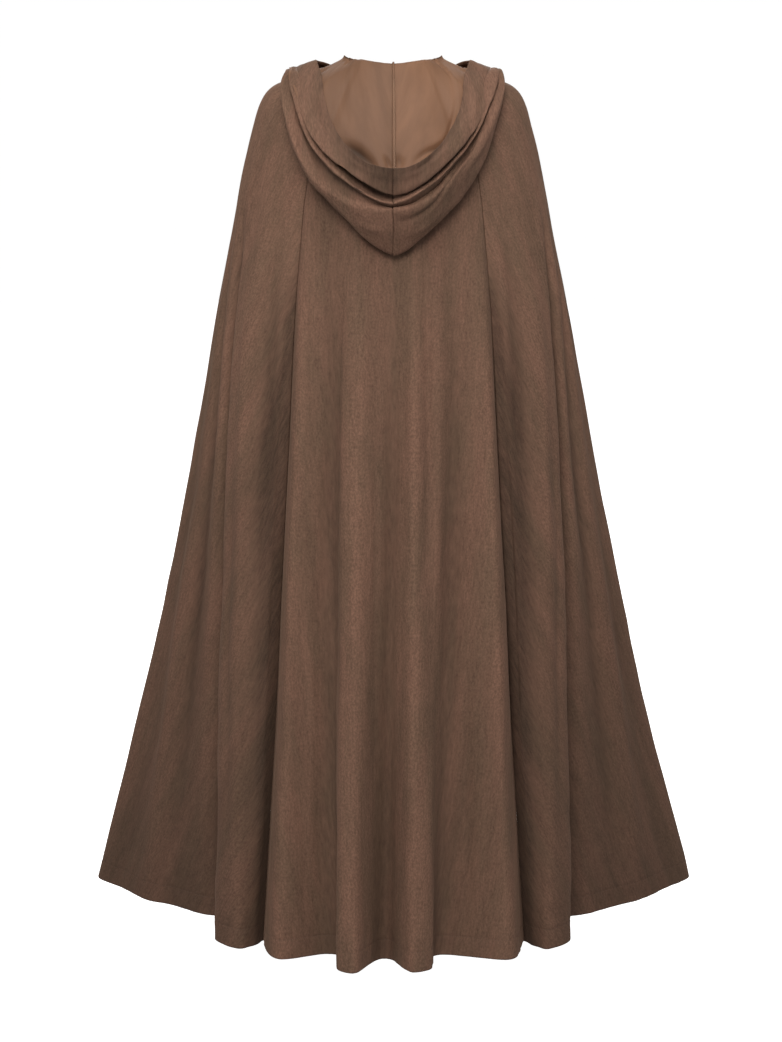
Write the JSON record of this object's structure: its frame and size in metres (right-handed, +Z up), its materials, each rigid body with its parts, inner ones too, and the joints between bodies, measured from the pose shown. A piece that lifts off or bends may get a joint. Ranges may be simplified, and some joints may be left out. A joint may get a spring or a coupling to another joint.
{
  "type": "hooded cloak",
  "caption": "Long hooded cloak of brown suede cloth, hollow as worn, falling in deep flutes to a wide hem, with the hood lowered in soft drapes at the back.",
  "frame": {"origin": "middle of the neckline, at the height where the cloak rests on the wearer's shoulders", "axes": "+Z up, +X to the right of the pictured back, -Y towards the viewer of the back; the wearer faces +Y"},
  "size_m": [1.0816, 0.9276, 1.4721],
  "materials": {
    "back_centre": "napped faux suede, matte",
    "side_left": "napped faux suede, matte",
    "side_right": "napped faux suede, matte",
    "hood_left": "napped faux suede, matte",
    "hood_right": "napped faux suede, matte"
  },
  "bodies": {
    "root": {"back_centre": "back_centre", "side_left": "side_left", "side_right": "side_right", "hood_left": "hood_left", "hood_right": "hood_right"}
  },
  "joints": []
}
